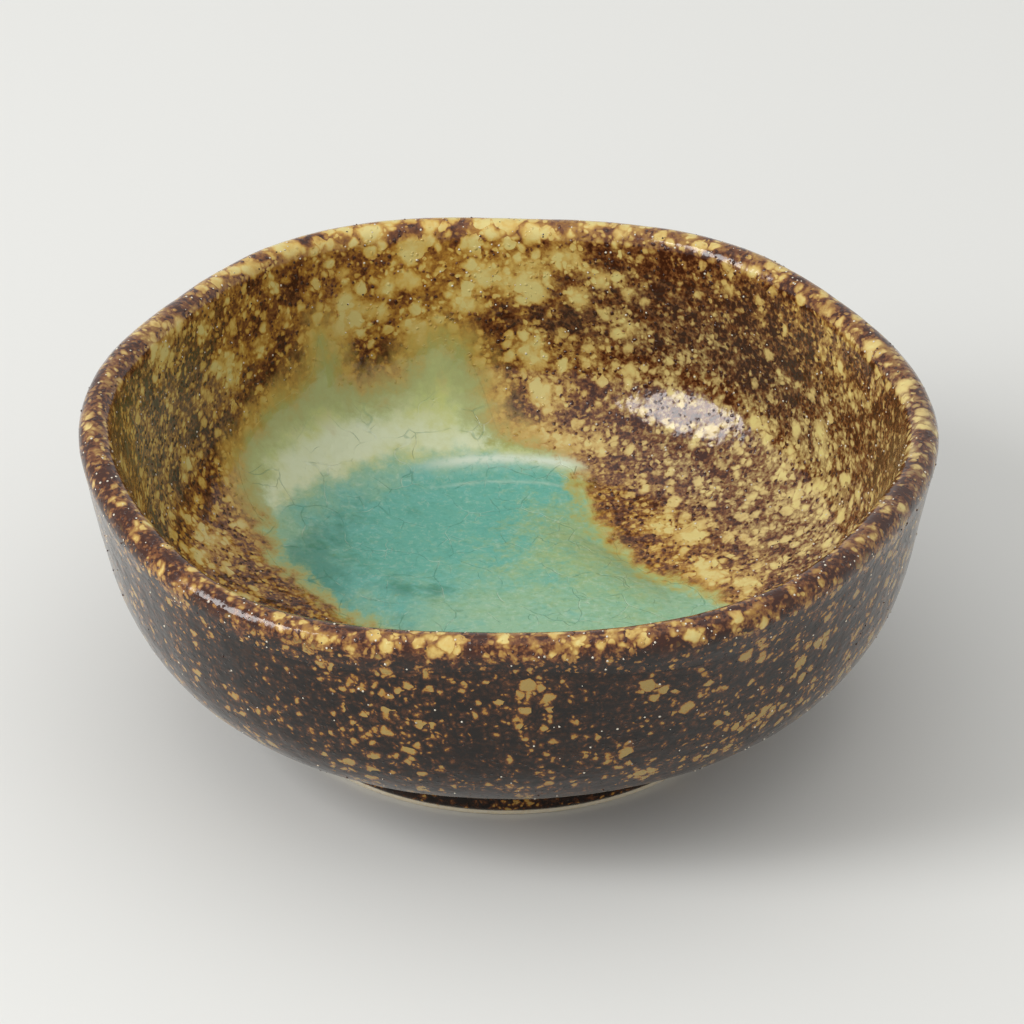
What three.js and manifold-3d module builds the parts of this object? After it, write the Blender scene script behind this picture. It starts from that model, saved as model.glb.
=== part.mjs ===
// A small hand-formed stoneware bowl: a clay body on a turned foot ring, an iron-brown glaze outside, an amber
// glaze inside and over the lip, a green run up the back of the inside, and crackled turquoise glass in the well.
// Millimetres, +Z up. The bowl stands on z = 0, and -Y is the side that faces the viewer.

import * as THREE from "three";
import { mergeVertices } from "three/addons/utils/BufferGeometryUtils.js";
import Module from "manifold-3d";

const wasm = await Module();
wasm.setup();

// The wall line is the middle of the clay: it leaves the flat floor at a slope and ends in the middle of the lip
const rimRadius = 54.1;
const rimHeight = 41.2;
const floorHeight = 6.8;
const bellySlope = 17.4;
const bellyReach = 27.5;
const lipFlare = 4.2;
const wallRise = 23.7;

// The clay's thickness at the lip, in the wall and in the floor
const lipClay = 3.2;
const wallClay = 3.2;
const floorClay = 4.2;

// The foot ring, which tapers towards its base
const footRadius = 30.6;
const footWidth = 4;
const footTaper = 0.8;
const footEdge = 0.6;

// The glazes' thicknesses, and the bare clay that the potter wiped clean at the foot's base
const brownCoat = 0.45;
const amberCoat = 0.55;
const greenCoat = 0.8;
const underCoat = 0.4;
const glassDepth = 2;
const glassEdge = 0.7;
const bareEdge = 0.8;

// How far the amber glaze ran down the outside below the lip, on average
const dripLength = 2.6;

// The air between one layer and the next
const layerGap = 0.1;

// How the rim was pressed out of round by hand: waves in its radius, each with a crest at a turn in degrees
const rimWaves = [
  { count: 1, size: 1.3, crest: -70 },
  { count: 2, size: 1, crest: -44 },
  { count: 3, size: 0.8, crest: -30 },
  { count: 4, size: 1.2, crest: 26 },
  { count: 6, size: 0.75, crest: -2 },
];

// How the belly leans to one side, at half the wall's length
const bellyWaves = [{ count: 1, size: 0.45, crest: 10 }];

// How the lip rises and falls on its way round
const heightWaves = [
  { count: 2, size: 1.1, crest: -20 },
  { count: 3, size: 1.4, crest: 57 },
];

// How the amber glaze's lower edge wanders outside
const dripWaves = [
  { count: 5, size: 0.6, crest: 10 },
  { count: 8, size: 0.5, crest: 25 },
];

// How quickly the hand-formed waves die out below the lip
const handForming = 3;

// The edges of the turquoise glass and of the green run, as turns in degrees and shares of the way up the inside
// from the floor's centre to the lip
const glassOutline = [
  { turn: 5, climb: 0.41 },
  { turn: 18, climb: 0.36 },
  { turn: 33, climb: 0.31 },
  { turn: 53, climb: 0.33 },
  { turn: 68, climb: 0.40 },
  { turn: 73, climb: 0.49 },
  { turn: 90, climb: 0.51 },
  { turn: 114, climb: 0.53 },
  { turn: 138, climb: 0.54 },
  { turn: 150, climb: 0.55 },
  { turn: 160, climb: 0.49 },
  { turn: 168, climb: 0.36 },
  { turn: 186, climb: 0.25 },
  { turn: 225, climb: 0.21 },
  { turn: 258, climb: 0.26 },
  { turn: 283, climb: 0.37 },
  { turn: 305, climb: 0.48 },
  { turn: 325, climb: 0.52 },
  { turn: 345, climb: 0.48 },
];
const runOutline = [
  { turn: 76, climb: 0.48 },
  { turn: 86, climb: 0.57 },
  { turn: 92, climb: 0.67 },
  { turn: 100, climb: 0.75 },
  { turn: 114, climb: 0.77 },
  { turn: 128, climb: 0.74 },
  { turn: 138, climb: 0.71 },
  { turn: 144, climb: 0.66 },
  { turn: 148, climb: 0.59 },
  { turn: 150, climb: 0.51 },
  { turn: 132, climb: 0.47 },
  { turn: 112, climb: 0.45 },
  { turn: 92, climb: 0.45 },
];

// Steps round the bowl, along its section, round the lip and along an outline
const columns = 60;
const wallSteps = 10;
const lipSteps = 4;
const outlineSteps = 48;

// The floor is flat as far as the foot's bore
const bore = footRadius - footWidth;
const boreTop = bore - footTaper;
const footTop = footRadius + footTaper;
const slope = THREE.MathUtils.degToRad(bellySlope);
const wallLine = new THREE.CubicBezierCurve(
  new THREE.Vector2(bore, floorHeight),
  new THREE.Vector2(
    bore + bellyReach * Math.cos(slope),
    floorHeight + bellyReach * Math.sin(slope),
  ),
  new THREE.Vector2(rimRadius - lipFlare, rimHeight - wallRise),
  new THREE.Vector2(rimRadius, rimHeight),
);
const outside = 1;
const inside = -1;

// Half of the clay's thickness at a share of the wall line
function clayHalf(share) {
  const thickness =
    share < 0.5
      ? THREE.MathUtils.lerp(floorClay, wallClay, 2 * share)
      : THREE.MathUtils.lerp(wallClay, lipClay, 2 * share - 1);
  return thickness / 2;
}

// A place on the clay's skin holds the point of the wall line behind it, the way out of the clay, the clay's half
// thickness there, and how much of the hand-forming and of the belly's lean reaches it
function wallPlace(share, side) {
  const along = wallLine.getTangent(share);
  return {
    centre: wallLine.getPoint(share),
    out: new THREE.Vector2(along.y, -along.x).multiplyScalar(side),
    half: clayHalf(share),
    give: share ** handForming,
    lean: (4 * share * (1 - share)) ** 2,
  };
}

// A place on the flat floor
function floorPlace(radius, side) {
  return {
    centre: new THREE.Vector2(radius, floorHeight),
    out: new THREE.Vector2(0, -side),
    half: floorClay / 2,
    give: 0,
    lean: 0,
  };
}

// The place where the wall leaves the floor, whose way out lies between theirs
function joinPlace(side) {
  const place = wallPlace(0, side);
  place.out.add(floorPlace(bore, side).out).normalize();
  return place;
}

// A place on the round of the lip, from 0 on its outer side to PI on its inner side
function lipPlace(angle) {
  const place = wallPlace(1, outside);
  place.out.rotateAround(new THREE.Vector2(), angle);
  return place;
}

// The point of the even section at a place, lifted off the clay by a rise
function sectionPoint(place, rise = 0) {
  return place.out.clone().multiplyScalar(place.half + rise).add(place.centre);
}

// The sum of some waves at a turn in radians
function wavesAt(waves, turn) {
  let sum = 0;
  for (const wave of waves) {
    const crest = THREE.MathUtils.degToRad(wave.crest);
    sum += wave.size * Math.cos(wave.count * (turn - crest));
  }
  return sum;
}

// The point on the bowl at a place, a rise and a turn
function pointOn(place, rise, turn) {
  const even = sectionPoint(place, rise);
  const lean = place.lean * wavesAt(bellyWaves, turn);
  const radius = even.x + place.give * wavesAt(rimWaves, turn) + lean;
  const height = even.y + place.give * wavesAt(heightWaves, turn);
  return new THREE.Vector3(radius * Math.cos(turn), radius * Math.sin(turn), height);
}

function turnOf(column) {
  return (2 * Math.PI * column) / columns;
}

// The points of a ring all the way round the bowl
function ringAt(place, rise = 0) {
  return Array.from({ length: columns }, (_, column) => pointOn(place, rise, turnOf(column)));
}

// The single point where the floor meets the bowl's axis
function poleOf(side, rise = 0) {
  const even = sectionPoint(floorPlace(0, side), rise);
  return [new THREE.Vector3(0, 0, even.y)];
}

// A closed geometry from rings of points, from one pole to the other, or round and back to the first ring. Each
// four-sided patch folds along its shorter diagonal, so that layers laid on each other fold alike
function closedRings(rings, returns) {
  const points = rings.flat();
  const starts = [];
  let count = 0;
  for (const ring of rings) {
    starts.push(count);
    count += ring.length;
  }
  const around = Math.max(...rings.map((ring) => ring.length));
  const corner = (row, step) => starts[row] + (rings[row].length === 1 ? 0 : step % around);
  const faces = [];
  const bands = returns ? rings.length : rings.length - 1;
  for (let row = 0; row < bands; row++) {
    const next = (row + 1) % rings.length;
    for (let step = 0; step < around; step++) {
      const near = corner(row, step);
      const nearRight = corner(row, step + 1);
      const far = corner(next, step);
      const farRight = corner(next, step + 1);
      const fold = points[near].distanceTo(points[farRight]);
      const otherFold = points[nearRight].distanceTo(points[far]);
      const patch =
        fold < otherFold
          ? [[near, nearRight, farRight], [near, farRight, far]]
          : [[near, nearRight, far], [nearRight, farRight, far]];
      for (const face of patch) {
        if (new Set(face).size === 3) faces.push(...face);
      }
    }
  }
  const geometry = new THREE.BufferGeometry().setFromPoints(points);
  geometry.setIndex(faces);
  return geometry;
}

// The share of the wall line where its outer skin reaches a radius
function outerShareAt(radius) {
  const closeEnough = 1e-6;
  let low = 0;
  let high = 1;
  while (high - low > closeEnough) {
    const middle = (low + high) / 2;
    if (sectionPoint(wallPlace(middle, outside)).x < radius) low = middle;
    else high = middle;
  }
  return low;
}

// Places along one side of the wall from a share of the wall line to the lip
function wallPlaces(side, from) {
  return Array.from({ length: wallSteps + 1 }, (_, step) =>
    wallPlace(THREE.MathUtils.lerp(from, 1, step / wallSteps), side),
  );
}

// The clay's skin in order: under the floor, up the outside from the foot, and round the lip; and the inside from
// the floor's centre up to the lip
const underPlaces = [floorPlace(bore / 2, outside), joinPlace(outside)];
const outerPlaces = wallPlaces(outside, outerShareAt(footTop));
const lipPlaces = Array.from({ length: lipSteps - 1 }, (_, step) =>
  lipPlace((Math.PI * (step + 1)) / lipSteps),
);
const innerPlaces = [
  floorPlace(bore / 2, inside),
  joinPlace(inside),
  ...wallPlaces(inside, 0).slice(1),
];

function stonewareBody() {
  const skin = [...underPlaces, ...outerPlaces, ...lipPlaces, ...innerPlaces.toReversed()];
  return closedRings([poleOf(outside), ...skin.map((place) => ringAt(place)), poleOf(inside)]);
}

// A place that is a plain point of the section, with its own way out
function plainPlace(radius, height, outX, outY) {
  return {
    centre: new THREE.Vector2(radius, height),
    out: new THREE.Vector2(outX, outY),
    half: 0,
    give: 0,
    lean: 0,
  };
}

// The ring's top follows the clay above it
function footRing() {
  const shoulder = sectionPoint(outerPlaces[0]);
  const join = sectionPoint(joinPlace(outside));
  const section = [
    new THREE.Vector2(bore + footEdge, 0),
    new THREE.Vector2(footRadius - footEdge, 0),
    new THREE.Vector2(footRadius, footEdge),
    new THREE.Vector2(shoulder.x, shoulder.y - layerGap),
    new THREE.Vector2(join.x, join.y - layerGap),
    new THREE.Vector2(boreTop, floorHeight - floorClay / 2 - layerGap),
    new THREE.Vector2(bore, footEdge),
  ];
  return closedRings(
    section.map((point) => ringAt(plainPlace(point.x, point.y, 0, 0))),
    true,
  );
}

// A ring at the amber glaze's lower edge outside, moved down by a drop
const lipStart = outerPlaces.at(-1);
const belowLip = outerPlaces.at(-2);
function dripRing(rise, drop) {
  const run = stepBetween(lipStart, belowLip);
  return Array.from({ length: columns }, (_, column) => {
    const turn = turnOf(column);
    const length = dripLength + wavesAt(dripWaves, turn) + drop;
    return pointOn(lipStart, rise, turn).lerp(pointOn(belowLip, rise, turn), length / run);
  });
}

// The brown coat from the bare edge of the foot up to a little below the drips
function brownGlaze() {
  const bare = plainPlace(footRadius, bareEdge, 1, 0);
  const shoulder = sectionPoint(outerPlaces[0]);
  const corner = plainPlace(shoulder.x, shoulder.y, 1, -1);
  const places = [bare, corner, ...outerPlaces.slice(1, -1)];
  const over = places.map((place) => ringAt(place, layerGap + brownCoat));
  const under = places.map((place) => ringAt(place, layerGap));
  const edgeOver = dripRing(layerGap + brownCoat, layerGap);
  const edgeUnder = dripRing(layerGap, layerGap);
  return closedRings([...over, edgeOver, edgeUnder, ...under.reverse()], true);
}

// The amber coat all over the inside and the lip, before the run and the glass take their places in it
function amberCoatWhole() {
  const places = [lipStart, ...lipPlaces, ...innerPlaces.toReversed()];
  const rise = layerGap + amberCoat;
  const over = places.map((place) => ringAt(place, rise));
  const under = places.map((place) => ringAt(place, layerGap)).reverse();
  const edge = [dripRing(layerGap, 0), dripRing(rise, 0)];
  return closedRings([poleOf(inside, layerGap), ...under, ...edge, ...over, poleOf(inside, rise)]);
}

// A closed layer on the inside below the lip, whose thickness is worked out for each place
function floorLayer(thicknessAt) {
  const places = innerPlaces.slice(0, -1);
  const under = places.map((place) => ringAt(place, layerGap));
  const over = places.map((place) => ringAt(place, layerGap + thicknessAt(place))).reverse();
  const middle = layerGap + thicknessAt(floorPlace(0, inside));
  return closedRings([poleOf(inside, layerGap), ...under, ...over, poleOf(inside, middle)]);
}

function betweenPlaces(first, second, share) {
  return {
    centre: first.centre.clone().lerp(second.centre, share),
    out: first.out.clone().lerp(second.out, share),
    half: THREE.MathUtils.lerp(first.half, second.half, share),
    give: THREE.MathUtils.lerp(first.give, second.give, share),
    lean: THREE.MathUtils.lerp(first.lean, second.lean, share),
  };
}

// How far it is from one place of the even section to another
function stepBetween(first, second) {
  return sectionPoint(first).distanceTo(sectionPoint(second));
}

// The way up the inside from the floor's centre to the lip
const wayUp = [floorPlace(0, inside), ...innerPlaces];
let wayUpLength = 0;
for (let step = 1; step < wayUp.length; step++) wayUpLength += stepBetween(wayUp[step - 1], wayUp[step]);

// The point of the inside at a turn in degrees and a share of the way up
function insidePoint({ turn, climb }) {
  const angle = THREE.MathUtils.degToRad(turn);
  let left = climb * wayUpLength;
  let step = 1;
  while (left > stepBetween(wayUp[step - 1], wayUp[step])) {
    left -= stepBetween(wayUp[step - 1], wayUp[step]);
    step++;
  }
  const share = left / stepBetween(wayUp[step - 1], wayUp[step]);
  return pointOn(betweenPlaces(wayUp[step - 1], wayUp[step], share), 0, angle);
}

// A closed cone from above the bowl's middle down through an outline on the inside, widened by an allowance
function outlineCone(outline, allowance) {
  const edge = new THREE.CatmullRomCurve3(outline.map(insidePoint), true).getPoints(outlineSteps);
  edge.pop();
  const tip = new THREE.Vector3(0, 0, rimHeight);
  const middle = new THREE.Vector3();
  for (const point of edge) middle.add(point);
  middle.divideScalar(edge.length);
  const beyond = 1.5;
  const wide = edge.map((point) => {
    const outward = point.clone().sub(middle).setLength(allowance);
    return point.clone().add(outward).sub(tip).multiplyScalar(beyond).add(tip);
  });
  const base = middle.clone().sub(tip).multiplyScalar(beyond).add(tip);
  return closedRings([[base], wide, [tip]]);
}

function toSolid(geometry) {
  const bare = geometry.clone();
  bare.deleteAttribute("normal");
  bare.deleteAttribute("uv");
  const merged = mergeVertices(bare);
  return new wasm.Manifold(
    new wasm.Mesh({
      numProp: 3,
      vertProperties: merged.attributes.position.array,
      triVerts: new Uint32Array(merged.index.array),
    }),
  );
}

function toGeometry(solid) {
  const mesh = solid.getMesh();
  const geometry = new THREE.BufferGeometry();
  geometry.setAttribute("position", new THREE.BufferAttribute(mesh.vertProperties, 3));
  geometry.setIndex(new THREE.BufferAttribute(mesh.triVerts, 1));
  return geometry;
}

const glassCone = toSolid(outlineCone(glassOutline, 0));
const glassConeWide = toSolid(outlineCone(glassOutline, layerGap));
const runCone = toSolid(outlineCone(runOutline, 0));
const runConeWide = toSolid(outlineCone(runOutline, layerGap));

function amberGlaze() {
  return toGeometry(toSolid(amberCoatWhole()).subtract(glassConeWide).subtract(runConeWide));
}

function greenRun() {
  const layer = toSolid(floorLayer(() => greenCoat));
  return toGeometry(layer.intersect(runCone).subtract(glassConeWide));
}

// The glass melted level in the well, and thins to a film where the wall rises out of it
function turquoiseGlass() {
  const level = floorHeight + floorClay / 2 + glassDepth;
  const depthAt = (place) => Math.max(glassEdge, level - sectionPoint(place).y);
  const layer = toSolid(floorLayer(depthAt));
  return toGeometry(layer.intersect(glassCone));
}

function underfootGlaze() {
  const edge = floorPlace(boreTop - layerGap, outside);
  const rise = layerGap + underCoat;
  return closedRings([
    poleOf(outside, rise),
    ringAt(edge, rise),
    ringAt(edge, layerGap),
    poleOf(outside, layerGap),
  ]);
}

function fired(name, geometry, colour, roughness) {
  const shape = geometry.toNonIndexed();
  shape.computeVertexNormals();
  const material = new THREE.MeshStandardMaterial({ color: colour, roughness, metalness: 0 });
  const mesh = new THREE.Mesh(shape, material);
  mesh.name = name;
  return mesh;
}

const bowl = new THREE.Group();
bowl.add(
  fired("stoneware_body", stonewareBody(), "#cdbf9f", 0.9),
  fired("foot_ring", footRing(), "#cdbf9f", 0.9),
  fired("brown_glaze_outside", brownGlaze(), "#3a302b", 0.25),
  fired("amber_glaze_inside", amberGlaze(), "#8c6a3a", 0.3),
  fired("green_glaze_run", greenRun(), "#a9b87c", 0.15),
  fired("turquoise_glass_pool", turquoiseGlass(), "#5fae96", 0.1),
  fired("glaze_under_foot", underfootGlaze(), "#3a302b", 0.3),
);

// The hand-formed rim leaves the wheel's axis, so the bowl moves to stand with its bounding box on the origin
const bounds = new THREE.Box3().setFromObject(bowl);
const centre = bounds.getCenter(new THREE.Vector3());
bowl.position.set(-centre.x, -centre.y, -bounds.min.z);

const part = new THREE.Group();
part.add(bowl);

export default part;
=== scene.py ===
"""A small hand-formed stoneware bowl in its fired glazes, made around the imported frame.

The inside is lined with a speckled amber glaze that wraps over the lip. A pale green run comes down the back
into a pool of crackled turquoise glass, and the outside is a dark iron glaze with golden flecks, over a bare
clay foot.
"""

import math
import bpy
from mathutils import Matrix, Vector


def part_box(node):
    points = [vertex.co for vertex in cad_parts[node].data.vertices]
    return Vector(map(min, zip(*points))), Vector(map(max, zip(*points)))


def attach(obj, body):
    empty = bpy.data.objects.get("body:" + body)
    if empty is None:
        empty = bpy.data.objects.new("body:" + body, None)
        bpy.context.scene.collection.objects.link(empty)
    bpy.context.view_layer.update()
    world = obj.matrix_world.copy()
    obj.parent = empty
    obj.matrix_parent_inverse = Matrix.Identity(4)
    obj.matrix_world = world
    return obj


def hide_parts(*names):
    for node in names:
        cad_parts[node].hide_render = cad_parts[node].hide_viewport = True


bl_info = {
    "name": "Glazed Stoneware Bowl",
    "version": (1, 0, 0),
    "blender": (4, 5, 0),
    "location": "View3D > Sidebar > Bowl",
    "description": "Makes a hand-formed stoneware bowl with speckled glazes and a pool of crackled glass",
    "category": "Add Mesh",
}

import bpy
import numpy as np
from bpy.props import FloatProperty, FloatVectorProperty, IntProperty, PointerProperty
from mathutils import Vector, noise

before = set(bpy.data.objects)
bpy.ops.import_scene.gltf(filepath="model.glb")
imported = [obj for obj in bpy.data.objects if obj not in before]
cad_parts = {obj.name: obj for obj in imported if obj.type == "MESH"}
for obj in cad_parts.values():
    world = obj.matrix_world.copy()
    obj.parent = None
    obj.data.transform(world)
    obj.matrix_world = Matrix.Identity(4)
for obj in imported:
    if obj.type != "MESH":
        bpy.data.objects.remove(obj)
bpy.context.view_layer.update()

MM = 0.001
FULL_TURN = 2 * math.pi

# The wheel's axis goes through the middle of the foot ring
foot_low, foot_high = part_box("foot_ring")
WHEEL = np.array([(foot_low.x + foot_high.x) / 2, (foot_low.y + foot_high.y) / 2, 0.0])

# Waves pressed into the bowl by hand, each with a count round the rim, a size in millimetres and a crest in
# degrees
RIM_WAVES = ((1, 1.3, -70), (2, 1.0, -44), (3, 0.8, -30), (4, 1.2, 26), (6, 0.75, -2))
HEIGHT_WAVES = ((2, 1.1, -20), (3, 1.4, 57))
BELLY_WAVES = ((1, 0.45, 10),)
DRIP_WAVES = ((5, 0.6, 10), (8, 0.5, 25))

# The edge of the glass pool, as turns in degrees and shares of the way up the inside
POOL_EDGE = (
    (5, 0.41), (18, 0.36), (33, 0.31), (53, 0.33), (68, 0.40), (73, 0.49), (90, 0.51), (114, 0.53),
    (138, 0.54), (150, 0.55), (160, 0.49), (168, 0.36), (186, 0.25), (225, 0.21), (258, 0.26), (283, 0.37),
    (305, 0.48), (325, 0.52), (345, 0.48),
)

# The upper edge of the green run, from its right end to its left end
RUN_EDGE = (
    (74, 0.50), (84, 0.545), (92, 0.57), (94.5, 0.68), (97, 0.76), (101, 0.79), (105, 0.76), (108, 0.71),
    (114, 0.70), (118, 0.72), (119.5, 0.78), (121, 0.86), (123, 0.77), (126, 0.745), (133, 0.73),
    (140, 0.705), (145, 0.67), (149, 0.59), (151, 0.545),
)

# Patches of the inside where the gold is denser or sparser: turn, way up, reach round, reach up and how much
# gold they bring, all but the turn and the last in millimetres
GOLD_PATCHES = (
    (103, 68, 20, 9, 0.6),
    (140, 66, 14, 7, 0.15),
    (42, 63, 13, 8, -0.4),
    (62, 66, 9, 6, -0.15),
    (8, 62, 9, 10, -0.6),
    (112, 55, 4.5, 2.6, -1.0),
    (130, 60.5, 5, 3, -0.6),
    (149, 67.5, 5, 3, -0.5),
    (126, 68.7, 3, 2.5, -0.6),
    (89, 46, 3.5, 3.5, -0.8),
    (88, 60.5, 3.5, 2.5, -0.7),
    (165, 54, 16, 10, 0.4),
    (178, 40, 12, 8, 0.4),
    (72, 54, 14, 9, 0.5),
    (24, 50, 20, 12, 1.0),
    (48, 33, 12, 4, 0.6),
    (22, 30, 12, 4, 0.5),
    (22, 67.5, 6, 3, 0.6),
    (160, 44, 12, 6, 0.3),
    (98, 77, 45, 5, 1.1),
    (160, 77, 30, 4, 0.3),
    (260, 77, 55, 5, 0.4),
    (186, 77, 26, 5, -0.35),
    (10, 77, 30, 5, 0.4),
)

# Patches of the inside where the flecks are larger and softer, as the patches above
COARSE_PATCHES = (
    (100, 66, 26, 12, 1.2),
    (140, 60, 14, 12, 0.8),
    (165, 46, 12, 8, 0.5),
    (98, 77, 60, 4, 0.6),
)

# Patches of the inside where a painted sheen takes the orange out of the flecks, as the patches above
SHEEN_PAINTED_PATCHES = (
    (46, 47, 24, 14, 1.0),
    (12, 52, 24, 15, 1.0),
    (-10, 62, 26, 16, 1.0),
    (62, 64, 22, 14, 0.6),
    (0, 77, 40, 5, 0.5),
    (180, 77, 36, 5, 0.7),
    (270, 77, 60, 5, 0.35),
)

# Patches of the inside that melted smooth, with few raised grains, as the patches above
SMOOTH_PATCHES = (
    (58, 49, 11, 5.5, 1.0),
)

# Patches of the outside where the flecks crowd together: turn, way down from the lip, reach round, reach down
# and how much, all but the turn and the last in millimetres
CROWD_PATCHES = (
    (-32, 20, 20, 12, 0.3),
)

# Soft cream blobs where the glaze pooled: turn, way up, reach round, reach up, all but the turn in
# millimetres
CREAM_BLOBS = (
    (115, 62.5, 3.2, 3.6),
    (121, 58, 1.8, 6.0),
    (104, 58, 3.4, 4.0),
    (141, 62.5, 3.4, 3.0),
    (97, 63, 3.0, 2.6),
    (93.5, 67, 3.2, 2.4),
    (87.5, 66.5, 3.4, 4.0),
    (80.5, 70, 2.3, 2.3),
    (74, 67, 1.5, 1.6),
    (78, 64, 1.8, 1.5),
    (109, 66, 1.5, 1.5),
    (86.5, 55, 2.6, 2.8),
    (84, 48, 2.6, 2.6),
    (128.5, 70.3, 1.4, 1.4),
    (133, 63, 1.9, 1.9),
    (147.5, 70, 1.5, 2.3),
    (160, 71.5, 2.8, 2.1),
    (170, 44, 2.0, 1.6),
    (165.5, 43.4, 2.4, 2.0),
    (80, 40.5, 6.5, 2.5),
    (36, 31.5, 2.4, 1.5),
    (46, 30.5, 2.8, 1.5),
    (21, 29.3, 3.0, 1.6),
    (8, 33.4, 3.2, 1.8),
    (40, 60.8, 1.0, 1.0),
    (28.6, 56.6, 1.2, 1.2),
    (69.8, 60.5, 1.7, 1.7),
)

# Milky parts of the run: turn, way up, reach round, reach up and how milky
MILKY_PATCHES = (
    (131, 43.5, 9, 4.2, 1.0),
    (118, 44.5, 7, 4.0, 0.9),
    (146, 40.5, 5, 3.5, 0.8),
    (104, 42, 7, 3.0, 0.45),
    (96, 40, 7, 2.0, 0.7),
)

# Bluest parts of the glass, as the patches above
BLUE_PATCHES = (
    (128, 26, 19, 12, 1.0),
    (85, 29, 17, 9, 0.9),
    (165, 20, 9, 9, 0.3),
    (95, 12, 14, 8, 0.45),
)

# Yellow green parts of the glass
LEAF_PATCHES = (
    (70, 25, 8, 6, 0.7),
    (38, 19, 18, 6, 0.6),
    (60, 12, 10, 8, 0.35),
    (172, 30, 3, 6, 0.6),
    (195, 18, 10, 3, 0.5),
)

# Dark green flecks and clouds in the glass
DEEP_PATCHES = (
    (157, 16, 2.6, 2.4, 1.3),
    (150, 11, 2.6, 2.4, 1.3),
    (147, 31, 9, 3.5, 1.1),
    (130, 34, 5, 2.0, 0.5),
    (162, 27, 7, 7.0, 1.2),
    (118, 28, 2, 2.0, 0.5),
    (193, 14, 7, 3.0, 0.7),
)

# Low swells where the amber glaze lies thick: turn, distance from the wheel's axis, height, reach round,
# reach up and rise, all but the turn in millimetres
GLAZE_SWELLS = (
    (55.2, 45.8, 18.4, 9.5, 3.8, 0.66),
)

# Unevenness of a glaze, in layers: height and spacing in millimetres, and a seed
AMBER_LAYERS = ((0.16, 17, 3.0), (0.07, 6, 11.0), (0.035, 2.4, 23.0))
BROWN_LAYERS = ((0.22, 19, 5.0), (0.08, 6.5, 17.0), (0.03, 2.2, 29.0))
UNDERFOOT_LAYERS = ((0.12, 9, 41.0), (0.05, 3, 43.0))

# Middles of the discs that a piece's visible and hidden sides fill on the bake map, and how far they reach
VISIBLE_DISC = (0.5, 0.5)
VISIBLE_REACH = 0.49
HIDDEN_DISC = (0.065, 0.065)
HIDDEN_REACH = 0.06


def srgb(red, green, blue):
    """A colour written as it shows on a screen, from 0 to 255, as the linear colour that Blender holds."""
    linear = []
    for level in (red / 255, green / 255, blue / 255):
        linear.append(level / 12.92 if level <= 0.04045 else ((level + 0.055) / 1.055) ** 2.4)
    return (*linear, 1.0)


def size(default, name, description):
    return FloatProperty(
        name=name, description=description, default=default * MM, min=0.0, unit="LENGTH", precision=5
    )


def colour(default, name, description):
    return FloatVectorProperty(
        name=name, description=description, default=srgb(*default), size=4, min=0.0, max=1.0, subtype="COLOR"
    )


class BowlSizes(bpy.types.PropertyGroup):
    rim_radius: size(54.1, "Rim radius", "From the wheel's axis to the middle of the lip")
    rim_height: size(41.2, "Rim height", "Height of the middle of the lip")
    floor_height: size(6.8, "Floor height", "Height of the middle of the clay floor")
    belly_reach: size(27.5, "Belly reach", "How far the wall keeps its slope as it leaves the floor")
    lip_flare: size(4.2, "Lip flare", "How far the lip leans out over the wall")
    wall_rise: size(23.7, "Wall rise", "How far the wall stands up below the lip")
    belly_slope: FloatProperty(
        name="Belly slope",
        description="Slope at which the wall leaves the floor",
        default=math.radians(17.4),
        subtype="ANGLE",
    )
    wall_clay: size(3.2, "Wall clay", "Thickness of the clay in the wall and the lip")
    floor_clay: size(4.2, "Floor clay", "Thickness of the clay in the floor")
    foot_radius: size(32.0, "Foot radius", "Outer radius of the foot at its base")
    foot_width: size(5.4, "Foot width", "Width of the foot at its base")
    foot_taper: size(0.8, "Foot taper", "How much wider the foot is at its top, on each side")
    foot_edge: size(0.6, "Foot edge", "Rounding of the foot's edges")
    brown_coat: size(0.55, "Brown coat", "Height of the brown glaze over the clay")
    amber_coat: size(0.65, "Amber coat", "Height of the amber glaze over the clay")
    glass_depth: size(2.1, "Glass depth", "Height of the level glass over the clay floor")
    bare_edge: size(0.9, "Bare edge", "Height of the clay that is left bare at the foot's base")
    drip_length: size(2.6, "Drip length", "How far the amber glaze runs down outside the lip")
    smallest_grain: size(0.07, "Smallest grain", "Radius of the smallest raised grains")
    largest_grain: size(0.2, "Largest grain", "Radius of the largest raised grains")
    grain_density: FloatProperty(
        name="Grain density",
        description="Raised grains in each square metre where they are thickest",
        default=250000.0,
        min=0.0,
    )


class GlazeColours(bpy.types.PropertyGroup):
    soot: colour((60, 27, 12), "Soot brown", "Darkest brown, between the flecks")
    brown: colour((112, 66, 34), "Brown", "Middle brown, where the amber glaze is thin")
    amber: colour((168, 119, 46), "Amber", "Rims of the flecks")
    straw: colour((205, 170, 86), "Straw", "Middles of the flecks")
    # Khaki and sand are greyer, less orange fleck colours: a painted sheen where the glaze catches the light
    khaki: colour((152, 124, 76), "Khaki", "Rims of the flecks where the glaze is dull")
    sand: colour((200, 174, 112), "Sand", "Middles of the flecks where the glaze is dull")
    fleck: colour((164, 137, 76), "Fleck gold", "Middles of the flecks outside")
    cream: colour((213, 196, 126), "Cream", "Middles of the large blobs")
    olive: colour((182, 162, 82), "Olive", "Where the amber glaze thins into the run")
    run_green: colour((194, 200, 120), "Run green", "Green parts of the run")
    run_pale: colour((216, 226, 188), "Run pale", "Milky parts of the run")
    blue: colour((106, 180, 165), "Pool blue", "Deepest turquoise of the glass")
    green: colour((144, 187, 151), "Pool green", "Green glass towards the pool's edge")
    leaf: colour((164, 184, 124), "Pool rim", "Yellow green glass in the thin rim of the pool")
    deep: colour((56, 128, 106), "Deep green", "Dark green flecks in the glass")
    # Frost is the glass's pale mottling and crack colour, and also a painted highlight where the glass ends
    # on the wall
    frost_and_highlight: colour((214, 228, 208), "Frost", "Pale line where the glass ends on the wall")
    charcoal: colour((20, 13, 9), "Charcoal", "Ground of the outside glaze")
    clay: colour((222, 213, 193), "Clay", "Bare fired clay")


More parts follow.
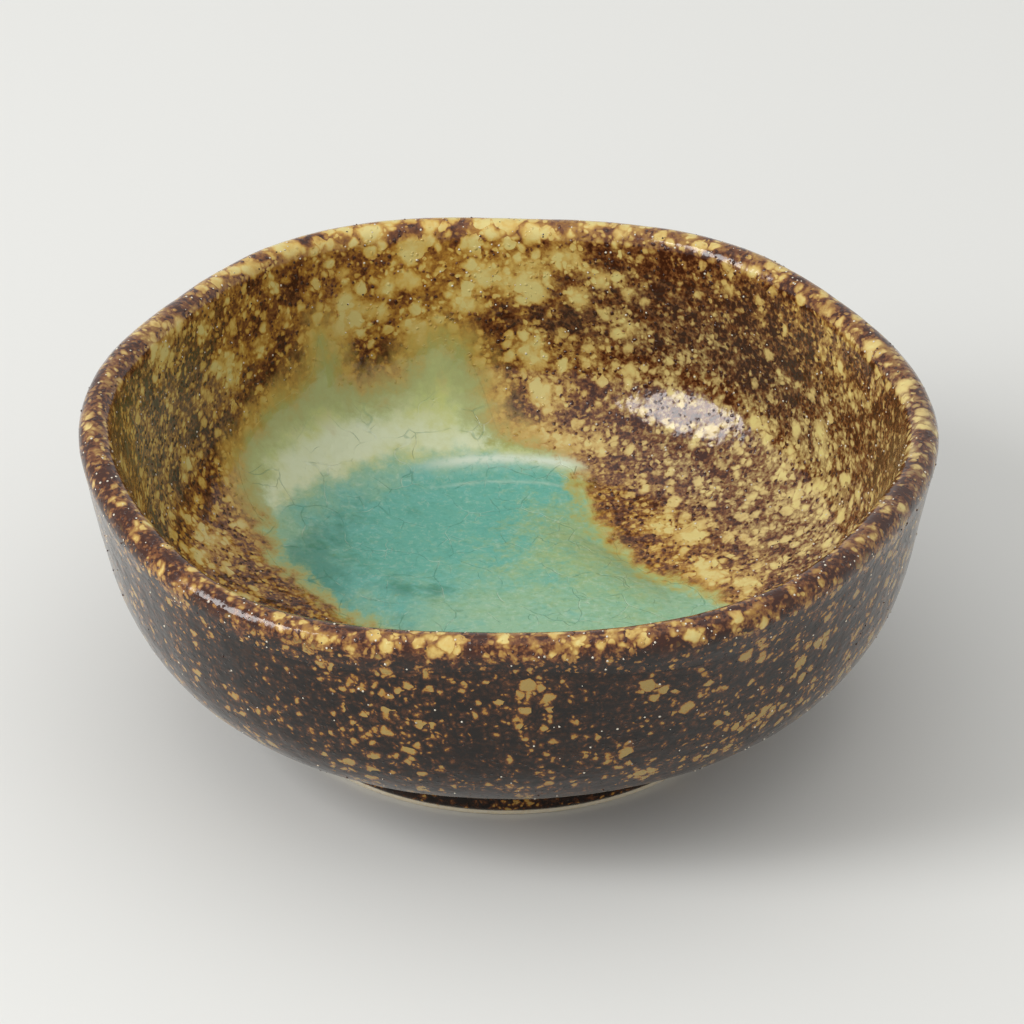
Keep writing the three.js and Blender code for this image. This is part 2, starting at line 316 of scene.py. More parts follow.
class StageLook(bpy.types.PropertyGroup):
    floor: colour((222, 222, 219), "Floor", "Colour of the floor")
    key_power: FloatProperty(name="Key light", description="Power of the softbox", default=6.0, unit="POWER")
    fill_power: FloatProperty(
        name="Fill light", description="Power of the overhead light", default=1.9, unit="POWER"
    )
    sky: FloatProperty(name="Sky", description="Strength of the light from all round", default=0.72)


def floor_top(sizes):
    return sizes.floor_height + sizes.floor_clay / 2


def floor_bottom(sizes):
    return sizes.floor_height - sizes.floor_clay / 2


def even_turns(count):
    """Turns evenly spaced round the bowl."""
    return np.linspace(0, FULL_TURN, count, endpoint=False)


def from_wheel(points):
    """How far points lie from the wheel's axis."""
    return np.hypot(points[..., 0] - WHEEL[0], points[..., 1] - WHEEL[1])


def waves(table, turns):
    """The sum of some waves at turns in radians, in metres."""
    total = np.zeros_like(turns)
    for count, height, crest in table:
        total += height * MM * np.cos(count * (turns - math.radians(crest)))
    return total


class Skin:
    """Places along the bowl's section, each with the way out of the clay and its share of hand-forming."""

    def __init__(self, centre, out, half, give, lean):
        self.centre = centre
        self.out = out
        self.half = half
        self.give = give
        self.lean = lean

    def columns(self):
        return np.column_stack([self.centre, self.out, self.half, self.give, self.lean])

    @classmethod
    def from_columns(cls, table):
        return cls(table[:, 0:2], table[:, 2:4], table[:, 4], table[:, 5], table[:, 6])

    def ways(self):
        """How far each place lies along the skin from the first one."""
        section = self.centre + self.out * self.half[:, None]
        steps = np.linalg.norm(np.diff(section, axis=0), axis=1)
        return np.concatenate([[0.0], np.cumsum(steps)])

    def at(self, ways):
        """The places at some distances along the skin."""
        known = self.ways()
        table = self.columns()
        return Skin.from_columns(np.column_stack([np.interp(ways, known, column) for column in table.T]))


def wall_skin(sizes, shares, side):
    """Places on one side of the wall, 1 for outside and -1 for inside, at shares of the wall's length."""
    slope = float(sizes.belly_slope)
    start = np.array([sizes.foot_radius - sizes.foot_width, sizes.floor_height])
    first = start + sizes.belly_reach * np.array([math.cos(slope), math.sin(slope)])
    end = np.array([sizes.rim_radius, sizes.rim_height])
    second = end - np.array([sizes.lip_flare, sizes.wall_rise])
    t = shares[:, None]
    centre = (1 - t) ** 3 * start + 3 * (1 - t) ** 2 * t * first + 3 * (1 - t) * t**2 * second + t**3 * end
    along = (1 - t) ** 2 * (first - start) + 2 * (1 - t) * t * (second - first) + t**2 * (end - second)
    along /= np.linalg.norm(along, axis=1)[:, None]
    out = side * np.column_stack([along[:, 1], -along[:, 0]])
    half = np.interp(shares, [0, 0.5, 1], [sizes.floor_clay, sizes.wall_clay, sizes.wall_clay]) / 2
    hand_forming = shares**3
    bulge = (4 * shares * (1 - shares)) ** 2
    return Skin(centre, out, half, hand_forming, bulge)


def plain_skin(points, outs):
    """Places that are plain points of the section, untouched by the hand-forming."""
    count = len(points)
    return Skin(np.array(points), np.array(outs), np.zeros(count), np.zeros(count), np.zeros(count))


def joined(*skins):
    return Skin.from_columns(np.vstack([skin.columns() for skin in skins]))


def inside_skin(sizes):
    """The inside from the floor's centre to the lip."""
    bore = sizes.foot_radius - sizes.foot_width
    join = 4 * MM
    radii = np.linspace(0, bore - join, 12)
    floor = plain_skin([(radius, floor_top(sizes)) for radius in radii], [(0.0, 1.0)] * len(radii))
    return joined(floor, wall_skin(sizes, np.linspace(0.12, 1, 60), -1))


def lip_skin(sizes):
    """The round of the lip, from its inner side to its outer side."""
    end = wall_skin(sizes, np.array([1.0]), 1)
    angles = np.linspace(math.pi, 0, 13)[1:-1]
    across, up = end.out[0]
    outs = np.column_stack(
        [across * np.cos(angles) - up * np.sin(angles), across * np.sin(angles) + up * np.cos(angles)]
    )
    table = np.repeat(end.columns(), len(angles), axis=0)
    table[:, 2:4] = outs
    return Skin.from_columns(table)


def outside_skin(sizes):
    """The outside from the lip down the belly and the foot's wall to the bare edge."""
    shoulder_radius = sizes.foot_radius + sizes.foot_taper
    wall = wall_skin(sizes, np.linspace(1, 0.02, 120), 1)
    radii = (wall.centre + wall.out * wall.half[:, None])[:, 0]
    round_size = 1.3 * MM
    wall = Skin.from_columns(wall.columns()[radii > shoulder_radius + round_size])
    last = (wall.centre + wall.out * wall.half[:, None])[-1]
    corner = np.array([shoulder_radius, last[1] - 0.33 * (last[0] - shoulder_radius)])
    low = np.array([sizes.foot_radius + 0.75 * sizes.foot_taper, corner[1] - round_size])
    base = np.array([sizes.foot_radius, sizes.bare_edge])
    points = []
    outs = []
    for t in np.linspace(0.15, 1, 8):
        points.append((1 - t) ** 2 * last + 2 * (1 - t) * t * corner + t**2 * low)
        out = (1 - t) * wall.out[-1] + t * np.array([1.0, 0.0])
        outs.append(out / np.linalg.norm(out))
    for t in np.linspace(0.2, 1, 5):
        points.append((1 - t) * low + t * base)
        outs.append((1.0, 0.0))
    return joined(wall, plain_skin(points, outs))


def unevenness(points, spacing, seed):
    """A smooth uneven height from -1 to 1 at each point, with bumps about the spacing apart."""
    flat = points.reshape(-1, 3) / spacing + seed
    heights = [noise.noise(Vector(point)) for point in flat]
    return np.array(heights).reshape(points.shape[:-1])


def smooth_step(values, low, high):
    t = np.clip((values - low) / (high - low), 0, 1)
    return t * t * (3 - 2 * t)


def layered(points, layers):
    """The sum of some layers of unevenness at each point, in millimetres."""
    return sum(height * unevenness(points, spacing * MM, seed) for height, spacing, seed in layers)


def edge_ways(table, turns, total, full):
    """How far up the inside an edge lies at each turn. A full edge goes all the way round and closes."""
    known = [math.radians(turn) for turn, _ in table]
    climbs = [climb for _, climb in table]
    if full:
        known = [known[-1] - FULL_TURN, *known, known[0] + FULL_TURN]
        climbs = [climbs[-1], *climbs, climbs[0]]
    fine = np.linspace(known[0], known[-1], 721)
    rough = np.interp(fine, known, climbs)
    # The corners are rounded by an average over some neighbours on each side
    neighbours = 15
    kernel = np.hanning(2 * neighbours + 1)
    kernel /= kernel.sum()
    if full:
        padded = np.pad(rough[:-1], neighbours, mode="wrap")
        padded = np.append(padded, padded[2 * neighbours])
    else:
        padded = np.pad(rough, neighbours, mode="edge")
    soft = np.convolve(padded, kernel, mode="valid")
    wrapped = np.mod(turns - known[0], FULL_TURN) + known[0] if full else turns
    return np.interp(wrapped, fine, soft) * total


def pool_edge(turns, total):
    """How far up the inside the pool reaches at each turn."""
    return edge_ways(POOL_EDGE, turns, total, True)


def wet_edge(turns, total):
    """How far up the inside the melted glass reaches at each turn, with the run counted in."""
    first, last = math.radians(RUN_EDGE[0][0]), math.radians(RUN_EDGE[-1][0])
    pool = pool_edge(turns, total)
    run = edge_ways(RUN_EDGE, np.clip(turns, first, last), total, False)
    return np.where((turns > first) & (turns < last), np.maximum(pool, run), pool)


def flat_place(turns, ways):
    """Where a point of the inside lies when the bowl is unrolled flat about the floor's centre."""
    return np.stack([ways * np.cos(turns), ways * np.sin(turns)], axis=-1)


def depth_inside(edge, samples, turns, ways, total):
    """How far inside an edge each point lies, on the unrolled bowl, and less than 0 outside it."""
    round_turns = np.linspace(0, FULL_TURN, samples)
    places = flat_place(turns, ways).reshape(-1, 2)
    nearest = np.full(len(places), np.inf)
    for point in flat_place(round_turns, edge(round_turns, total)):
        nearest = np.minimum(nearest, np.hypot(places[:, 0] - point[0], places[:, 1] - point[1]))
    return np.where(ways < edge(turns, total), 1, -1) * nearest.reshape(ways.shape)


def pool_depth(turns, ways, total):
    return depth_inside(pool_edge, 361, turns, ways, total)


def wet_depth(turns, ways, total):
    return depth_inside(wet_edge, 721, turns, ways, total)


def turn_apart(turns, turn):
    """How far each turn is from a turn in degrees, the short way round, in radians."""
    return np.mod(turns - math.radians(turn) + math.pi, 2 * math.pi) - math.pi


def patch_weight(turns, ways, radius, turn, way, reach_round, reach_up):
    """How much of a soft oval patch lies on each point, from 0 to 1."""
    across = turn_apart(turns, turn) * radius / (reach_round * MM)
    up = (ways - way * MM) / (reach_up * MM)
    return np.exp(-(across**2) - up**2)


def patch_sum(patches, turns, ways, radius):
    """The sum of some patches at each point, each with its own amount."""
    total = np.zeros_like(ways)
    for turn, way, reach_round, reach_up, amount in patches:
        total += amount * patch_weight(turns, ways, radius, turn, way, reach_round, reach_up)
    return total


def cream_amount(turns, ways, radius):
    most = np.zeros_like(ways)
    for turn, way, reach_round, reach_up in CREAM_BLOBS:
        most = np.maximum(most, patch_weight(turns, ways, radius, turn, way, reach_round, reach_up))
    return most


def run_halo(ways, wet):
    """The golden band that the run leaves round its upper edge."""
    near = smooth_step(wet, -5 * MM, 0.0)
    return 0.75 * near * smooth_step(ways, 37 * MM, 43 * MM)


def painted_highlight_arcs(turns, ways):
    """A painted highlight: the pale arc at the back right, where the level glass ends on the wall, and a
    fainter one below it.
    """
    arc = np.exp(-(((ways - 36.9 * MM) / (1.0 * MM)) ** 2))
    faint = 0.35 * np.exp(-(((ways - 32.3 * MM) / (0.3 * MM)) ** 2))
    right = smooth_step(turns, math.radians(68), math.radians(80))
    left = smooth_step(turns, math.radians(116), math.radians(98))
    return (arc + faint) * right * left


def glaze_marks(turns, ways, points, total, lip_end):
    """The marks that every glaze of the inside reads, so that the colours run on from piece to piece."""
    radius = from_wheel(points)
    flat_radius = np.minimum(radius, ways)
    on_inside = ways < total
    inside = np.minimum(ways, total)
    far_off = -50 * MM
    pool = np.where(on_inside, pool_depth(turns, inside, total), far_off)
    wet = np.where(on_inside, wet_depth(turns, inside, total), far_off)
    lip_width = 2.9 * MM
    return {
        "way": ways / MM,
        "below_lip": (ways - lip_end) / MM,
        "pool": pool / MM,
        "wet": wet / MM,
        "gold": patch_sum(GOLD_PATCHES, turns, ways, radius) + run_halo(ways, wet),
        "lip": np.exp(-(((ways - (total + lip_end) / 2) / lip_width) ** 2)),
        "crowd": patch_sum(CROWD_PATCHES, turns, ways - lip_end, radius),
        "coarse": np.minimum(patch_sum(COARSE_PATCHES, turns, ways, radius), 1.0),
        # A painted sheen, where the flecks lose their orange
        "sheen_painted": np.minimum(patch_sum(SHEEN_PAINTED_PATCHES, turns, ways, radius), 1.0),
        "smooth": np.minimum(patch_sum(SMOOTH_PATCHES, turns, ways, radius), 1.0),
        "cream": cream_amount(turns, ways, radius),
        "milk": patch_sum(MILKY_PATCHES, turns, ways, radius),
        "blue": patch_sum(BLUE_PATCHES, turns, ways, flat_radius),
        "deep": patch_sum(DEEP_PATCHES, turns, ways, flat_radius),
        "leaf": patch_sum(LEAF_PATCHES, turns, ways, flat_radius),
        # A painted highlight along the glass's edge on the wall
        "frost_and_highlight": painted_highlight_arcs(turns, ways),
    }


def closed_mesh(name, grid, marks, poles, bake_bands=None):
    """A closed mesh from a grid of points whose rows are rings.

    With poles, two single points close the first and the last ring. Without them, the last ring joins the
    first. bake_bands gives the middle and the two radii, on the bake map, of each band between two rings.
    """
    rows, around = grid.shape[:2]
    corners = np.arange(rows * around).reshape(rows, around)
    near = corners if not poles else corners[:-1]
    far = np.roll(corners, -1, axis=0) if not poles else corners[1:]
    quads = np.stack([near, np.roll(near, -1, axis=1), np.roll(far, -1, axis=1), far], axis=-1)
    faces = quads.reshape(-1, 4).tolist()
    points = grid.reshape(-1, 3)
    tables = {mark: values.reshape(-1) for mark, values in marks.items()}
    if poles:
        first, last = len(points), len(points) + 1
        points = np.vstack([points, poles[0][None], poles[1][None]])
        for mark, values in marks.items():
            tables[mark] = np.append(tables[mark], [values[0].mean(), values[-1].mean()])
        start = np.stack([np.full(around, first), np.roll(corners[0], -1), corners[0]], axis=-1)
        end = np.stack([corners[-1], np.roll(corners[-1], -1), np.full(around, last)], axis=-1)
        faces += start.tolist() + end.tolist()
    mesh = bpy.data.meshes.new(name)
    mesh.from_pydata(points.tolist(), [], faces)
    for mark, values in tables.items():
        layer = mesh.attributes.new(mark, "FLOAT", "POINT")
        layer.data.foreach_set("value", np.ascontiguousarray(values, dtype=np.float32))
    if bake_bands is not None:
        add_bake_map(mesh, bake_bands, around, bool(poles))
    mesh.shade_smooth()
    mesh.update()
    piece = bpy.data.objects.new(name, mesh)
    bpy.context.scene.collection.objects.link(piece)
    return piece


def add_bake_map(mesh, bands, around, poles):
    """Lays each band of faces on the bake map as a ring about the middle of its own disc."""
    angles = FULL_TURN * np.arange(around + 1) / around
    directions = np.column_stack([np.cos(angles), np.sin(angles)])
    near_side = directions[:-1]
    far_side = directions[1:]
    places = []
    quad_bands = bands[1:-1] if poles else bands
    for middle, near, far in quad_bands:
        corners = [near_side * near, far_side * near, far_side * far, near_side * far]
        places.append(np.stack(corners, axis=1) + np.array(middle))
    table = np.concatenate([block.reshape(-1, 2) for block in places])
    if poles:
        middle, _, far = bands[0]
        start = np.stack([near_side * 0, far_side * far, near_side * far], axis=1) + np.array(middle)
        middle, near, _ = bands[-1]
        end = np.stack([near_side * near, far_side * near, near_side * 0], axis=1) + np.array(middle)
        table = np.concatenate([table, start.reshape(-1, 2), end.reshape(-1, 2)])
    layer = mesh.uv_layers.new(name="OFBake")
    layer.data.foreach_set("uv", table.astype(np.float32).ravel())


def disc_bands(over_ways, under_count, poles):
    """The bake map's bands of a piece, with its hidden rings, which come first, in the small disc."""
    over = np.asarray(over_ways) / max(over_ways) * VISIBLE_REACH
    under = np.linspace(0.001, HIDDEN_REACH, under_count)
    bands = []
    if poles:
        bands.append((HIDDEN_DISC, 0.0, under[0]))
    for near, far in zip(under[:-1], under[1:]):
        bands.append((HIDDEN_DISC, near, far))
    bands.append((HIDDEN_DISC, under[-1], HIDDEN_REACH * 1.05))
    for near, far in zip(over[:-1], over[1:]):
        bands.append((VISIBLE_DISC, near, far))
    if poles:
        bands.append((VISIBLE_DISC, over[-1], 0.0))
    return bands


class Value:
    """A number in a node tree. Arithmetic on it makes the nodes that work it out."""

    def __init__(self, nodes, socket):
        self.nodes = nodes
        self.socket = socket

    def __add__(self, other):
        return self.nodes.math("ADD", self, other)

    def __sub__(self, other):
        return self.nodes.math("SUBTRACT", self, other)

    def __rsub__(self, other):
        return self.nodes.math("SUBTRACT", other, self)

    def __mul__(self, other):
        return self.nodes.math("MULTIPLY", self, other)

    def at_least(self, other):
        """The larger of two numbers."""
        return self.nodes.math("MAXIMUM", self, other)

    def band(self, low, high):
        """0 up to the low value, 1 from the high value on, and smooth between them."""
        made = self.nodes.node(
            "ShaderNodeMapRange",
            {"Value": self, "From Min": low, "From Max": high},
            interpolation_type="SMOOTHSTEP",
        )
        return Value(self.nodes, made.outputs["Result"])


class Nodes:
    """Makes a tree's nodes. A value that is a socket is linked, and any other value is set."""

    def __init__(self, tree):
        self.tree = tree

    def node(self, kind, values=(), **settings):
        made = self.tree.nodes.new(kind)
        for name, setting in settings.items():
            setattr(made, name, setting)
        for key, value in dict(values).items():
            self.feed(made.inputs[key], value)
        return made

    def feed(self, socket, value):
        if isinstance(value, Value):
            value = value.socket
        if isinstance(value, bpy.types.NodeSocket):
            self.tree.links.new(value, socket)
        else:
            socket.default_value = value

    def math(self, operation, first, second):
        made = self.node("ShaderNodeMath", {0: first, 1: second}, operation=operation)
        return Value(self, made.outputs[0])

    def vector(self, operation, *values):
        return self.node("ShaderNodeVectorMath", dict(enumerate(values)), operation=operation).outputs[0]


class Graph(Nodes):
    """Makes a material's nodes. Spacings of patterns are in millimetres."""

    def __init__(self, name):
        self.material = bpy.data.materials.new(name)
        self.material.use_nodes = True
        super().__init__(self.material.node_tree)
        self.tree.nodes.clear()

    def ramp(self, value, stops):
        """A colour that runs through some stops, each with its value and colour."""
        made = self.node("ShaderNodeValToRGB", {"Fac": value})
        elements = made.color_ramp.elements
        while len(elements) < len(stops):
            elements.new(0.5)
        for element, (position, tint) in zip(elements, stops):
            element.position = position
            element.color = tint
        return made.outputs["Color"]

    def mix(self, share, first, second):
        return self.node("ShaderNodeMix", {0: share, 6: first, 7: second}, data_type="RGBA").outputs[2]

    def mark(self, name):
        return Value(self, self.node("ShaderNodeAttribute", attribute_name=name).outputs["Fac"])

    def place(self):
        return self.node("ShaderNodeTexCoord").outputs["Object"]

    def stretched(self, place, across, up):
        """The place with its sideways and upright lengths changed, which stretches or squeezes a pattern."""
        return self.vector("MULTIPLY", place, (across, across, up))

    def noise(self, place, spacing, detail=2.0, roughness=0.5):
        """Soft noise from 0 to 1."""
        made = self.node(
            "ShaderNodeTexNoise",
            {"Vector": place, "Scale": 1 / (spacing * MM), "Detail": detail, "Roughness": roughness},
        )
        return Value(self, made.outputs["Fac"])

    def sway(self, place, spacing, amount, detail=2.0, roughness=0.5):
        """Soft noise about 0, as strong as the amount."""
        return (self.noise(place, spacing, detail, roughness) - 0.5) * amount

    def warped(self, place, spacing, amount, detail=1.0):
        """The place pushed about by some millimetres of noise, so that a pattern on it isn't regular."""
        values = {"Vector": place, "Scale": 1 / (spacing * MM), "Detail": detail}
        push = self.node("ShaderNodeTexNoise", values).outputs["Color"]
        centred = self.vector("SUBTRACT", push, (0.5, 0.5, 0.5))
        return self.vector("MULTIPLY_ADD", centred, (2 * amount * MM,) * 3, place)

    def cells(self, place, spacing):
        """The distance to the nearest cell's middle, in cells, and the cell's own chance from 0 to 1."""
        made = self.node("ShaderNodeTexVoronoi", {"Vector": place, "Scale": 1 / (spacing * MM)})
        chance = self.node("ShaderNodeSeparateColor", {"Color": made.outputs["Color"]}).outputs[0]
        return Value(self, made.outputs["Distance"]), Value(self, chance)

    def cracks(self, place, spacing):
        """The distance to the nearest border between cells, in cells."""
        values = {"Vector": place, "Scale": 1 / (spacing * MM)}
        made = self.node("ShaderNodeTexVoronoi", values, feature="DISTANCE_TO_EDGE")
        return Value(self, made.outputs["Distance"])

    def spots(self, place, spacing, reach, spread):
        """How deep a point lies in scattered spots, in cells. Their reach differs by the spread."""
        distance, chance = self.cells(place, spacing)
        return self.math("ADD", reach, (chance - 0.5) * spread) - distance

    def finish(self, base, roughness, height=None, depth=0.0, sheen=0.5):
        """The glossy surface that ends every material."""
        values = {"Base Color": base, "Roughness": roughness, "IOR": 1.5, "Specular IOR Level": sheen}
        if height is not None:
            bump = self.node("ShaderNodeBump", {"Height": height, "Distance": depth * MM, "Strength": 1.0})
            values["Normal"] = bump.outputs[0]
        surface = self.node("ShaderNodeBsdfPrincipled", values)
        self.node("ShaderNodeOutputMaterial", {"Surface": surface.outputs[0]})
        return self.material


def iron_tint(graph, colours, place):
    """The iron glaze's charcoal and brown ground, with golden flecks that crowd together in places."""
    warped = graph.warped(place, 1.4, 0.8)
    under_lip = graph.mark("below_lip").band(9.0, 2.0) * 0.12
    crowd = graph.sway(place, 10.0, 1.5) + under_lip + graph.mark("crowd")
    fleck = graph.spots(warped, 2.5, crowd * 0.8 - 0.04, 0.85)
    speck = graph.spots(warped, 1.4, crowd * 0.7 + 0.08, 0.85)
    dot = graph.spots(warped, 0.75, crowd * 0.4 + 0.02, 0.7)
    fray = graph.sway(place, 0.6, 0.5, roughness=0.7)
    depth = (fleck * 1.6).at_least(speck).at_least(dot * 0.6) + fray
    fine = graph.noise(warped, 0.8, 3.0, 0.6)
    streak = graph.noise(graph.stretched(place, 0.2, 2.4), 2.2, 3.0)
    ground = graph.mix(fine.band(0.5, 0.8) * 0.2, colours.charcoal, colours.brown)
    ground = graph.mix(streak.band(0.5, 0.8) * 0.12, ground, colours.brown)
    ground = graph.mix(depth.band(-0.4, 0.0) * 0.2, ground, colours.brown)
    tint = graph.ramp(depth, ((0.02, colours.brown), (0.09, colours.amber), (0.22, colours.fleck)))
    return graph.mix(depth.band(-0.14, 0.12), ground, tint)


def fleck_stops(colours, rim, middle):
    """The amber glaze's colours from its darkest ground to its largest blobs."""
    return ((0.06, colours.soot), (0.28, colours.brown), (0.50, rim), (0.74, middle), (1.0, colours.cream))


def speckled_glaze(graph, colours, place):
    """The speckled amber glaze of the inside and the lip. Returns its colour and its raised grains."""
    warped = graph.warped(place, 1.7, 0.8, 2.0)
    lip = graph.mark("lip")
    coarse = graph.mark("coarse")
    running = graph.noise(graph.stretched(place, 1.0, 0.3), 3.0)
    past_lip = graph.mark("below_lip") - running.band(0.48, 0.72) * 3.2
    fading = past_lip.band(-2.2, 0.8) * 1.5
    lumps = (graph.noise(place, 4.6).band(0.40, 0.58) - 0.3) * 1.1
    bias = graph.mark("gold") + lumps * lip - fading
    # Spots of three sizes lie on soft clouds, and the gold of a place makes both stronger
    soft_reach = coarse * 0.16 + (bias * 0.12 + 0.06)
    broad = graph.spots(warped, 4.4, soft_reach, 0.5)
    middle = graph.spots(warped, 1.9, bias * 0.14 + 0.30, 0.55)
    tiny = graph.spots(warped, 1.0, 0.30, 0.5)
    spot = middle.band(-0.08, 0.30).at_least(broad.band(-0.1, 0.22))
    spot = spot.at_least(tiny.band(-0.08, 0.24) * 0.75)
    clouds = graph.noise(warped, 3.6, 4.0, 0.62)
    calm = 1.7 - coarse * 0.3
    tone = (clouds - 0.5) * calm + (bias * 0.24 + 0.24)
    blob = graph.mark("cream") * (graph.noise(warped, 1.4) * 1.2 + 0.2)
    tone = tone.at_least(0.0) + spot * 0.54 + blob * 0.75
    # Fine grain shows most where the glaze is dark
    grain, chance = graph.cells(graph.warped(place, 0.7, 0.3), 0.8)
    grain = grain + chance * -0.3
    grains = grain.band(0.22, -0.06) * chance.band(0.4, 0.5)
    speckle = graph.sway(place, 0.7, 1.3, roughness=0.6) - grains * 0.5
    share = (tone + lip * 0.25).band(0.9, 0.42) + 0.15
    share = share * (1.0 - coarse * 0.5)
    tone = (tone + speckle * share).at_least(0.0)
    level = tone * 0.94 - lip * 0.13
    golden = graph.ramp(level, fleck_stops(colours, colours.amber, colours.straw))
    # The greyer fleck colours are a painted sheen, mixed in where the sheen patches lie
    sheen_painted = graph.ramp(level, fleck_stops(colours, colours.khaki, colours.sand))
    base = graph.mix(graph.mark("sheen_painted"), golden, sheen_painted)
    outer = graph.mix(tone.band(0.2, 0.42), iron_tint(graph, colours, place), base)
    bead = grain.band(0.1, -0.15) * chance.band(0.5, 0.55)
    return graph.mix(past_lip.band(-1.6, 0.4), base, outer), bead


def run_tint(graph, colours, place):
    """The pale green run, milky in its middle."""
    clouds = graph.sway(graph.stretched(place, 1.0, 0.25), 2.6, 1.9, 4.0, 0.6)
    milk = graph.mark("milk") + clouds
    tint = graph.mix(milk.band(-0.2, 1.2), colours.run_green, colours.run_pale)
    high = graph.mark("way") + clouds * 9.0
    return graph.mix(high.band(46.0, 56.0) * 0.75, tint, colours.olive)


def glass_tint(graph, colours, place):
    """The turquoise of the glass, bluest at the back left and greener to the right and in its thin rim."""
    blueness = graph.mark("blue") + graph.sway(graph.warped(place, 3.0, 1.0), 4.0, 1.9, 5.0, 0.68)
    tint = graph.mix(blueness.band(0.0, 1.0), colours.green, colours.blue)
    yellow = graph.mark("leaf") + graph.sway(graph.warped(place, 1.2, 0.5), 1.5, 2.2, 4.0, 0.7)
    tint = graph.mix(yellow.band(0.1, 1.1) * 0.75, tint, colours.leaf)
    ripple = graph.noise(graph.warped(place, 1.5, 0.7), 0.9, 3.0, 0.7)
    tint = graph.mix(ripple.band(0.5, 0.72) * 0.2, tint, colours.frost_and_highlight)
    tint = graph.mix(ripple.band(0.46, 0.3) * 0.22, tint, colours.deep)
    cloud = graph.mark("deep") + graph.sway(place, 2.4, 2.2, 3.0, 0.6)
    return graph.mix(cloud.band(0.2, 1.5) * 0.62, tint, colours.deep)


def crackle(graph, place):
    """Thin lines where the glass crackled as it cooled: how strong they are, and where they are pale."""
    wide = graph.cracks(graph.warped(place, 5.0, 1.6), 8.0)
    close = graph.cracks(graph.warped(place, 2.5, 0.8), 4.0)
    shown = graph.noise(place, 4.5, 3.0)
    wide_line = wide.band(0.013, 0.002) * shown.band(0.38, 0.56)
    close_line = close.band(0.017, 0.004) * shown.band(0.52, 0.66)
    line = wide_line.at_least(close_line) * graph.mark("way").band(52.0, 44.0)
    return line, graph.noise(place, 3.4).band(0.48, 0.56)


def melted_over(graph, colours, place, base):
    """The green run and the glass pool over what lies under them."""
    wobble = graph.noise(graph.stretched(place, 1.0, 0.7), 2.4, 5.0, 0.66) - 0.5
    gentle = graph.mark("way").band(37.0, 44.0)
    wet = (graph.mark("wet") + wobble * 9.0) * (1.0 - gentle * 0.55)
    pool = graph.mark("pool") + graph.sway(place, 3.0, 7.0, 4.0, 0.6)
    run = run_tint(graph, colours, place)
    tint = graph.mix(pool.band(-2.2, 1.6), run, glass_tint(graph, colours, place))
    thin = graph.mix(wet.band(0.6, 3.2), colours.leaf, tint)
    fringe = graph.mix(gentle, colours.amber, colours.straw)
    rim = graph.mix(wet.band(-2.6, -0.2) * 0.65, base, fringe)
    rim = graph.mix(wet.band(-1.6, 0.9), rim, colours.olive)
    base = graph.mix(wet.band(-0.8, 2.4), rim, thin)
    # The pale arcs are a painted highlight in the frost colour, where the glass ends on the wall
    frost_and_highlight = graph.mark("frost_and_highlight") * wet.band(-2.5, 0.0) * wobble.band(-0.22, 0.02)
    base = graph.mix((frost_and_highlight * 0.95).at_least(0.0), base, colours.frost_and_highlight)
    cover = wet.band(-0.8, 0.9)
    line, pale = crackle(graph, place)
    line = line * cover
    base = graph.mix(line * (1.0 - pale) * 0.34, base, colours.deep)
    base = graph.mix(line * pale * 0.26, base, colours.frost_and_highlight)
    return base, cover, line


def inside_glaze(name, colours, crackled=False):
    """Everything fired on the inside and the lip, in one pattern for all its pieces."""
    graph = Graph(name)
    place = graph.place()
    base, bead = speckled_glaze(graph, colours, place)
    base, cover, line = melted_over(graph, colours, place, base)
    dry = 1.0 - cover
    beads = bead * (dry * 0.6 + 0.02) * (1.0 - graph.mark("smooth") * 0.8)
    swell = graph.noise(place, 2.4) + graph.noise(place, 0.9, 1.0) * 0.22
    height = swell + beads
    if crackled:
        height = height - line * 0.3
    return graph.finish(base, dry * 0.05 + 0.1, height, depth=0.14, sheen=0.45)


def outside_glaze(colours):
    """The dark iron glaze of the outside."""
    graph = Graph("brown glaze")
    place = graph.place()
    grain, chance = graph.cells(place, 0.7)
    bead = grain.band(0.36, 0.05) * chance.band(0.7, 0.75)
    wheel_marks = graph.noise(graph.stretched(place, 0.2, 2.4), 2.2)
    height = graph.noise(place, 2.2) + wheel_marks * 0.3 + bead * 0.45
    return graph.finish(iron_tint(graph, colours, place), 0.14, height, depth=0.14, sheen=0.38)


def grain_glint_material(colours):
    """Grains that stood up through the melting glaze, some dark and most of them pale, their pale colour a
    painted glint.
    """
    graph = Graph("raised grains")
    _, chance = graph.cells(graph.place(), 0.8)
    # The pale grains are painted glints, bright from every side
    base = graph.mix(chance.band(0.3, 0.35), colours.soot, colours.clay)
    return graph.finish(base, 0.12, sheen=0.6)


def clay_material(colours):
    """Bare fired clay with a fine grit and a few specks of iron."""
    graph = Graph("bare clay")
    place = graph.place()
    grit = graph.noise(place, 0.5, 3.0, 0.7)
    iron, chance = graph.cells(place, 1.3)
    specks = iron.band(0.2, 0.1) * chance.band(0.6, 0.65)
    base = graph.mix(grit.band(0.3, 0.8) * 0.35, colours.clay, colours.straw)
    base = graph.mix(specks * 0.6, base, colours.brown)
    return graph.finish(base, 0.85, grit, depth=0.08, sheen=0.3)


def floor_material(look):
    return Graph("paper floor").finish(look.floor, 0.9, sheen=0.1)


def own(piece, material, slot, *nodes):
    """Gives a piece its material and its place in the frame."""
    piece.data.materials.clear()
    piece.data.materials.append(material)
    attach(piece, "root")
    if nodes:
        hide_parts(*nodes)


